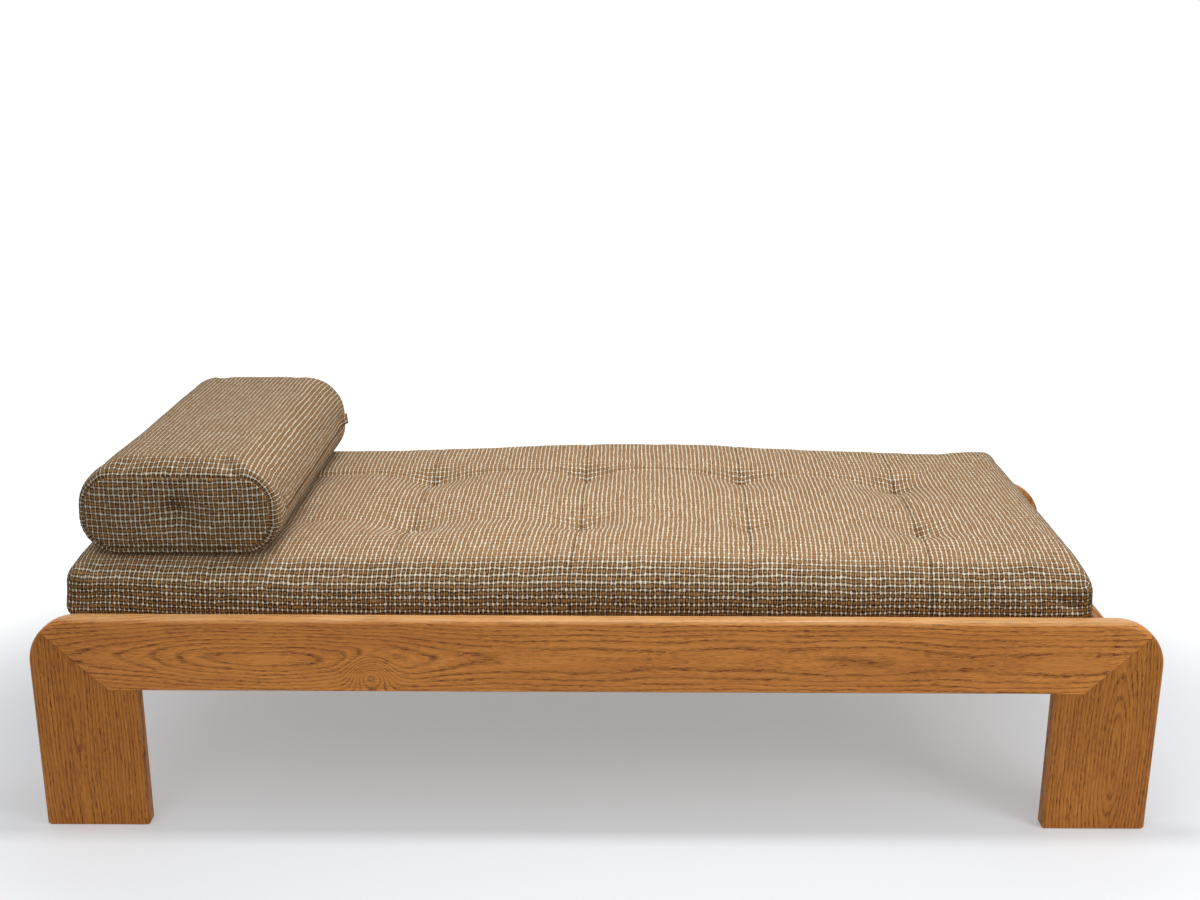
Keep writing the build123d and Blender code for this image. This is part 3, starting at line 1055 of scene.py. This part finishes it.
def build_mattress(context):
    settings = context.scene.daybed_upholstery
    block = Block(MATTRESS_HALF, MATTRESS_CORNER, MATTRESS_EDGES, 2)
    low, high = block.cloth_corners()
    cuts = (
        with_lines(evenly(low.x, high.x, settings.cell), SEAM_PLACES, SEAM_GAP),
        with_lines(evenly(low.y, high.y, settings.cell), ROW_PLACES, settings.cell),
        evenly(low.z, high.z, settings.cell),
    )
    bm = cloth_box(low, high, cuts)
    flat = bm.verts.layers.float_vector["flat"]
    held = []
    for vert in bm.verts:
        cloth = vert[flat].copy()
        point, way = block.place(cloth)
        point += way * (end_fullness(cloth, low, high) - tuft_relief(cloth, high))
        point += cloth_pull(cloth, high)
        point.z += mattress_crown(cloth, low, high)
        vert.co = point + MATTRESS_CENTRE
        on_top = cloth.z > high.z - HOLD_HEIGHT
        tuft = mound(math.hypot(*from_lines(cloth)), *TUFT_GRIP) * on_top
        held.append(1.0 if cloth.z < low.z + HOLD_HEIGHT else tuft)
    ease_front_weave(bm, low, high)
    # The mattress's tweed has painted shade along its seams
    mattress = piece_from(bm, "mattress_cushion", tweed("mattress tweed", seams=True))
    inflate(mattress, held, settings.swell)
    refine(mattress)
    nudge(mattress, lambda cloth: mattress_folds(cloth, high))
    rest_under_bolster(mattress)
    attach(mattress, "mattress")
    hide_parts("mattress_cover")


def rest_under_bolster(mattress):
    """Presses the mattress flat where the bolster lies on it."""
    bottom = BOLSTER_CENTRE.z - BOLSTER_HALF.z - PRESS_GAP
    for vert in mattress.data.vertices:
        away_x = abs(vert.co.x - BOLSTER_CENTRE.x) - (BOLSTER_HALF.x - PRESS_INSET)
        away_y = abs(vert.co.y - BOLSTER_CENTRE.y) - BOLSTER_HALF.y
        ceiling = bottom + PRESS_SLOPE * max(away_x, away_y, 0.0)
        if vert.co.z > ceiling and vert.co.z > MATTRESS_CENTRE.z:
            vert.co.z = ceiling
    mattress.data.update()


# ---------------- fillings and twines


def build_filling(name, half, upright, centre, inset, corner, edges, body, node):
    """A plain foam core that lies well inside its cover."""
    core = Block(half - Vector((inset, inset, inset)), corner, edges, upright)
    low, high = core.cloth_corners()
    bm = cloth_box(low, high, [evenly(low[axis], high[axis], FOAM_CELL) for axis in range(3)])
    flat = bm.verts.layers.float_vector["flat"]
    for vert in bm.verts:
        vert.co = core.place(vert[flat].copy())[0] + centre
    filling = piece_from(bm, name, finish_once("foam", foam))
    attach(filling, body)
    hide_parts(node)


def build_twines(name, ends, body, node):
    """Tuft twines between pairs of points."""
    bm = bmesh.new()
    for start, end in ends:
        run = end - start
        made = bmesh.ops.create_cone(
            bm, cap_ends=True, segments=10, radius1=TWINE_RADIUS, radius2=TWINE_RADIUS,
            depth=run.length,
        )
        turn = run.to_track_quat("Z", "Y").to_matrix()
        bmesh.ops.rotate(bm, cent=(0, 0, 0), matrix=turn, verts=made["verts"])
        bmesh.ops.translate(bm, vec=(start + end) / 2, verts=made["verts"])
    twines = piece_from(bm, name, finish_once("twine", twine))
    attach(twines, body)
    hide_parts(node)


def fill_mattress():
    """The mattress's foam, and a twine from its base up to each tuft."""
    middle = MATTRESS_CENTRE - Vector((0, 0, MATTRESS_FOAM_DROP))
    build_filling(
        "mattress_foam", MATTRESS_HALF, 2, middle, **MATTRESS_FOAM, body="mattress",
        node="mattress_core",
    )
    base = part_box("mattress_tuft_twines")[0].z
    ends = []
    for place in SEAM_PLACES:
        for row in ROW_PLACES:
            spot = Vector((MATTRESS_CENTRE.x + place, row, base))
            ends.append((spot, spot + Vector((0, 0, MATTRESS_TWINE_LENGTH))))
    build_twines("mattress_twines", ends, "mattress", "mattress_tuft_twines")


def fill_bolster():
    """The bolster's foam, and one twine from end to end."""
    build_filling(
        "bolster_foam", BOLSTER_HALF, 1, BOLSTER_CENTRE, **BOLSTER_FOAM, body="bolster",
        node="bolster_core",
    )
    reach = Vector((0, BOLSTER_HALF.y - BOLSTER_TWINE_INSET, 0))
    ends = [(BOLSTER_CENTRE - reach, BOLSTER_CENTRE + reach)]
    build_twines("bolster_twine", ends, "bolster", "bolster_tuft_twine")


# ---------------- bolster


def from_ends(y, low, high):
    """How far a place along the bolster's cloth lies from the nearer end panel."""
    return min(high.y - y, y - low.y)


def bolster_relief(flat, low, high):
    """Crown, end tufts and soft unevenness of the bolster."""
    x, y, z = flat
    shift = bumps(flat, 0.0018, (8, 7, 9), (3, 0, 0))
    if z > high.z - TOUCH:
        shift += BOLSTER_CROWN * (1 - (x / high.x) ** 2)
    if from_ends(y, low, high) < TOUCH:
        away = math.hypot(x, z)
        shift += PANEL_SWELL * (1 - (x / high.x) ** 4) * (1 - (z / high.z) ** 4)
        shift -= mound(away, *PANEL_BOWL) + ridge(away, *PANEL_DIMPLE)
        rays = math.cos(8 * math.atan2(z, x) + 1)
        shift += rays * ridge(away, *PANEL_FOLDS) * min(1.0, away / 0.01)
    return shift


def lean_bolster(point):
    """Narrows the bolster towards its rear, slants it and swells its front left side."""
    from_front = point.y + BOLSTER_HALF.y
    point.x = point.x * (1 - BOLSTER_TAPER * from_front) + BOLSTER_SKEW * from_front
    leftward = max(0.0, -point.x / BOLSTER_HALF.x)
    swell = BOLSTER_FRONT_SWELL * leftward
    point.x -= swell * mound(from_front, 0.1) * mound(point.z + 0.02, 0.06)


def panel_grip(cloth, low, high):
    """How firmly the bolster's cloth is held while it swells: base, end seams and end tufts."""
    base = 1.0 if cloth.z < low.z + TOUCH else 0.0
    if from_ends(cloth.y, low, high) >= TOUCH:
        return base
    rim = abs(cloth.x) > high.x - TOUCH or abs(cloth.z) > high.z - TOUCH
    return max(base, 0.8 if rim else 0.0, mound(math.hypot(cloth.x, cloth.z), PANEL_GRIP))


def mark_wrapped(mesh, low, high):
    """Marks the cloth that wraps round the roll, as against its two end panels."""
    flats = mesh.attributes["flat"].data
    marks = mesh.attributes.new("wrapped", "FLOAT", "POINT").data
    for mark, flat in zip(marks, flats):
        mark.value = min(from_ends(flat.vector.y, low, high) / WRAP_BLEND, 1.0)


def lay_panels_flat(bm, low, high):
    """Maps the two end panels by their true shape, as they were cut from flat cloth."""
    weave = bm.loops.layers.uv["weave"]
    flat = bm.verts.layers.float_vector["flat"]
    for face in bm.faces:
        if all(from_ends(vert[flat].y, low, high) < TOUCH for vert in face.verts):
            for loop in face.loops:
                loop[weave].uv = loop.vert.co.x, loop.vert.co.z


def end_seam(flat, low, high):
    """The sewn seam round each end panel, with small puckers."""
    x, y, z = flat
    pucker = 0.5 + 0.5 * math.sin(46 * math.atan2(z * 2, x))
    inset = min(high.x - abs(x), high.z - abs(z))
    from_end = from_ends(y, low, high)
    near = from_end if from_end > TOUCH else inset
    drawn_in = mound(near, *END_SEAM) * (1 + END_SEAM_PUCKER * pucker)
    return mound(near - END_SHOULDER_PLACE, *END_SHOULDER) * pucker - drawn_in


def build_bolster():
    block = Block(BOLSTER_HALF, BOLSTER_CORNER, BOLSTER_EDGES, 1, BOLSTER_SEAM_TURN)
    low, high = block.cloth_corners()
    ends = [low.y + gap for gap in END_GAPS] + [high.y - gap for gap in END_GAPS]
    cuts = (
        evenly(low.x, high.x, BOLSTER_CELL),
        sorted(evenly(low.y + END_MARGIN, high.y - END_MARGIN, BOLSTER_CELL) + ends),
        evenly(low.z, high.z, BOLSTER_CELL),
    )
    bm = cloth_box(low, high, cuts)
    flat = bm.verts.layers.float_vector["flat"]
    held = []
    for vert in bm.verts:
        cloth = vert[flat].copy()
        point, way = block.place(cloth)
        point += way * bolster_relief(cloth, low, high)
        lean_bolster(point)
        vert.co = point + BOLSTER_CENTRE
        held.append(panel_grip(cloth, low, high))
    lay_panels_flat(bm, low, high)
    bolster = piece_from(bm, "bolster_cushion", tweed("bolster tweed", BOLSTER_PAINTED_SHADE, wrapped=True))
    inflate(bolster, held, BOLSTER_SWELL)
    refine(bolster)
    mark_wrapped(bolster.data, low, high)
    nudge(bolster, lambda cloth: end_seam(cloth, low, high))
    floor = BOLSTER_CENTRE.z - BOLSTER_HALF.z
    for vert in bolster.data.vertices:
        vert.co.z = max(vert.co.z, floor)
    bolster.data.update()
    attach(bolster, "bolster")
    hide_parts("bolster_cover")
    return bolster


def build_zip_placket(bolster):
    """The sewn flap over the zip, laid on the bolster's right flank, its rear tab turned out."""
    low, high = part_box("bolster_zip_flap")
    length, width = high.y - low.y, high.z - low.z
    bm = bmesh.new()
    bmesh.ops.create_grid(bm, x_segments=4, y_segments=90, size=0.5)
    weave = bm.loops.layers.uv.new("weave")
    skin = BVHTree.FromObject(bolster, bpy.context.evaluated_depsgraph_get())
    for face in bm.faces:
        for loop in face.loops:
            loop[weave].uv = (loop.vert.co.x * width, loop.vert.co.y * length)
    for vert in bm.verts:
        across, lengthwise = vert.co.x * width, vert.co.y * length
        place = Vector((0, (low.y + high.y) / 2 + lengthwise, (low.z + high.z) / 2 + across))
        hit = skin.ray_cast(place, Vector((-1, 0, 0)))[0]
        turned = max(0.0, (lengthwise - (length / 2 - PLACKET_TAB)) / PLACKET_TAB)
        lift = 0.0004 + 0.0003 * math.sin(lengthwise * 75) + PLACKET_TAB_LIFT * turned ** 2
        vert.co = Vector((hit.x + lift, place.y, place.z + PLACKET_TAB_RISE * turned))
    bm.normal_update()
    bmesh.ops.solidify(bm, geom=bm.faces[:], thickness=-PLACKET_THICKNESS)
    bmesh.ops.recalc_face_normals(bm, faces=bm.faces)
    placket = piece_from(bm, "bolster_placket", bpy.data.materials["bolster tweed"])
    for mark in placket.data.attributes.new("wrapped", "FLOAT", "POINT").data:
        mark.value = 1.0
    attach(placket, "bolster")
    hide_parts("bolster_zip_flap")


# ---------------- stage


def soft_light(name, place, target, size, power):
    """A rectangular area light that faces a point."""
    lamp = bpy.data.lights.new(name, "AREA")
    lamp.shape = "RECTANGLE"
    lamp.size, lamp.size_y = size
    lamp.energy = power
    light = bpy.data.objects.new(name, lamp)
    light.location = place
    light.rotation_euler = (Vector(target) - Vector(place)).to_track_quat("-Z", "Y").to_euler()
    bpy.context.scene.collection.objects.link(light)


def room_light(strength):
    """Even light from all round, seen as plain white by the camera and in reflections."""
    world = bpy.data.worlds.new("room")
    bpy.context.scene.world = world
    world.use_nodes = True
    nodes = Nodes(world.node_tree)
    path = nodes.signals("ShaderNodeLightPath")
    reflected = nodes.larger(path["Is Glossy Ray"], path["Is Transmission Ray"])
    seen = nodes.larger(path["Is Camera Ray"], reflected)
    background = world.node_tree.nodes["Background"]
    background.inputs["Color"].default_value = (1, 1, 1, 1)
    lit = nodes.signal("ShaderNodeMapRange", {0: seen, 3: strength, 4: 1.0})
    nodes.feed(lit, background.inputs["Strength"])


def floor_finish():
    """A pale floor that holds the bed's shadow and fades to plain white away from it."""
    made, nodes, shader = material("pale floor", Roughness=0.9, Specular_IOR_Level=0.0)
    place = nodes.object_place()
    away = nodes.signal(
        "ShaderNodeVectorMath", {0: nodes.scaled(place, (0.66, 1.0, 1.0))}, "Value",
        operation="LENGTH",
    )
    fade = nodes.step(away, *FLOOR_FADE)
    tint = nodes.mix(nodes.noise(place, 60.0), (0.735, 0.77, 0.81, 1), (0.755, 0.79, 0.83, 1))
    tint = nodes.mix(fade, tint, (0.2, 0.2, 0.2, 1))
    path = nodes.signals("ShaderNodeLightPath")
    seen = nodes.larger(path["Is Camera Ray"], path["Is Glossy Ray"])
    shader.inputs["Emission Color"].default_value = (1, 1, 1, 1)
    nodes.finish(shader, Base_Color=tint, Emission_Strength=seen * (fade * 0.75 + 0.25))
    return made


# ---------------- operators


class DAYBED_OT_oak_frame(bpy.types.Operator):
    """Finish the mitred oak boards and the end rails, each with its own grain"""

    bl_idname = "daybed.oak_frame"
    bl_label = "Oak frame"

    def execute(self, context):
        oak = context.scene.daybed_oak
        for name, turn, shift, shade, figure in OAK_BOARDS:
            # A board's shade lightens or darkens its copy of the oak: painted light on the front rail,
            # partly painted shade on the front legs
            dress(name, wood(
                f"oak {name}", turn, shift,
                [shaded(colour, shade) for colour in (oak.light, oak.dark, oak.pore)],
                coat=LEG_COAT if name.startswith("leg") else RAIL_COAT,
                # Rails and legs get their joint lines and the painted highlight along the top edge
                joint_lines_and_highlight=not name.startswith("end_rail"),
                Ring_Width=oak.ring_width, **dict(zip(FIGURE, figure)),
            ))
        return {"FINISHED"}


class DAYBED_OT_deck(bpy.types.Operator):
    """Finish the slats, cleats and glue blocks in plain pine"""

    bl_idname = "daybed.deck"
    bl_label = "Deck"

    def execute(self, context):
        plain = dict(Ring_Width=0.0034, Wander=0.03, Swell=0.03, Pores=0.45)
        for number, name in enumerate(timber("slat_")):
            dress(name, wood(
                f"pine {name}", ALONG_Y_FLAT, (number * 1.7, number * 0.013, 0.0), PINE,
                Pith_Height=0.015 * math.sin(number * 2.1), Pith_Depth=0.42, **plain,
            ))
        for number, name in enumerate(timber("cleat_", "glue_block_")):
            turn = ALONG_X if name.startswith("cleat") else ALONG_Z
            dress(name, wood(
                f"pine {name}", turn, (number * 2.9, -0.35, 0.3), PINE,
                Pith_Height=0.02, Pith_Depth=0.05, **plain,
            ))
        return {"FINISHED"}


class DAYBED_OT_joinery(bpy.types.Operator):
    """Finish the tongues, dowels and screws"""

    bl_idname = "daybed.joinery"
    bl_label = "Joinery"

    def execute(self, context):
        turns = {
            "mitre_tongues": ALONG_X, "shoulder_dowels": ALONG_Z, "end_rail_dowels": ALONG_Y_FLAT,
        }
        for name, turn in turns.items():
            dress(name, wood(
                f"beech {name}", turn, (0, 0, 0), BEECH,
                Pith_Depth=0.3, Ring_Width=0.003, Wander=0.02, Swell=0.02, Pores=0.6,
            ))
        for name in ("slat_screws", "cleat_screws", "glue_block_screws"):
            dress(name, finish_once("screw steel", screw_steel))
        return {"FINISHED"}


class DAYBED_OT_mattress(bpy.types.Operator):
    """Build the tufted tweed mattress, its foam and its twines"""

    bl_idname = "daybed.mattress"
    bl_label = "Mattress"

    def execute(self, context):
        build_mattress(context)
        fill_mattress()
        return {"FINISHED"}


class DAYBED_OT_bolster(bpy.types.Operator):
    """Build the tweed bolster, its foam, its twine and its zip flap"""

    bl_idname = "daybed.bolster"
    bl_label = "Bolster"

    def execute(self, context):
        build_zip_placket(build_bolster())
        fill_bolster()
        return {"FINISHED"}


class DAYBED_OT_stage(bpy.types.Operator):
    """Set out the pale floor, the soft studio light and the camera"""

    bl_idname = "daybed.stage"
    bl_label = "Stage"

    def execute(self, context):
        settings = context.scene.daybed_stage
        bm = bmesh.new()
        bmesh.ops.create_grid(bm, x_segments=4, y_segments=4, size=FLOOR_REACH)
        floor = piece_from(bm, "floor", floor_finish())
        soft_light("key_light", KEY_PLACE, KEY_TARGET, KEY_SIZE, settings.key_power)
        fills = (
            ("fill_light_left", FILL_LEFT, FILL_LEFT_SHARE),
            ("fill_light_right", FILL_RIGHT, FILL_RIGHT_SHARE),
        )
        for name, place, share in fills:
            soft_light(name, place, FILL_TARGET, FILL_SIZE, settings.fill_power * share)
        room_light(settings.ambient)
        camera = bpy.data.objects.new("camera", bpy.data.cameras.new("camera"))
        camera.data.sensor_width = CAMERA_SENSOR
        camera.data.lens = CAMERA_LENS
        camera.matrix_world = (
            Matrix.Translation(CAMERA_PLACE)
            @ Matrix.Rotation(CAMERA_YAW, 4, "Z")
            @ Matrix.Rotation(math.pi / 2 - CAMERA_PITCH, 4, "X")
            @ Matrix.Rotation(CAMERA_ROLL, 4, "Z")
        )
        context.scene.collection.objects.link(camera)
        context.scene.camera = camera
        context.scene.view_settings.view_transform = "Standard"
        return {"FINISHED"}


OPERATORS = (
    DAYBED_OT_oak_frame,
    DAYBED_OT_deck,
    DAYBED_OT_joinery,
    DAYBED_OT_mattress,
    DAYBED_OT_bolster,
    DAYBED_OT_stage,
)


class DAYBED_PT_panel(bpy.types.Panel):
    """Lists the daybed's settings and the operators that build it"""

    bl_idname = "DAYBED_PT_panel"
    bl_label = "Oak Daybed"
    bl_space_type = "VIEW_3D"
    bl_region_type = "UI"
    bl_category = "Daybed"

    def draw(self, context):
        for name, kind in SETTINGS.items():
            box = self.layout.box()
            for prop in kind.__annotations__:
                box.prop(getattr(context.scene, name), prop)
        for operator in OPERATORS:
            self.layout.operator(operator.bl_idname)


def register():
    for kind in (*SETTINGS.values(), *OPERATORS, DAYBED_PT_panel):
        bpy.utils.register_class(kind)
    for name, kind in SETTINGS.items():
        setattr(bpy.types.Scene, name, PointerProperty(type=kind))


def unregister():
    for name in SETTINGS:
        delattr(bpy.types.Scene, name)
    for kind in reversed((*SETTINGS.values(), *OPERATORS, DAYBED_PT_panel)):
        bpy.utils.unregister_class(kind)


def main():
    register()
    bpy.ops.daybed.oak_frame()
    bpy.ops.daybed.deck()
    bpy.ops.daybed.joinery()
    bpy.ops.daybed.mattress()
    bpy.ops.daybed.bolster()
    bpy.ops.daybed.stage()


if __name__ == "__main__":
    main()
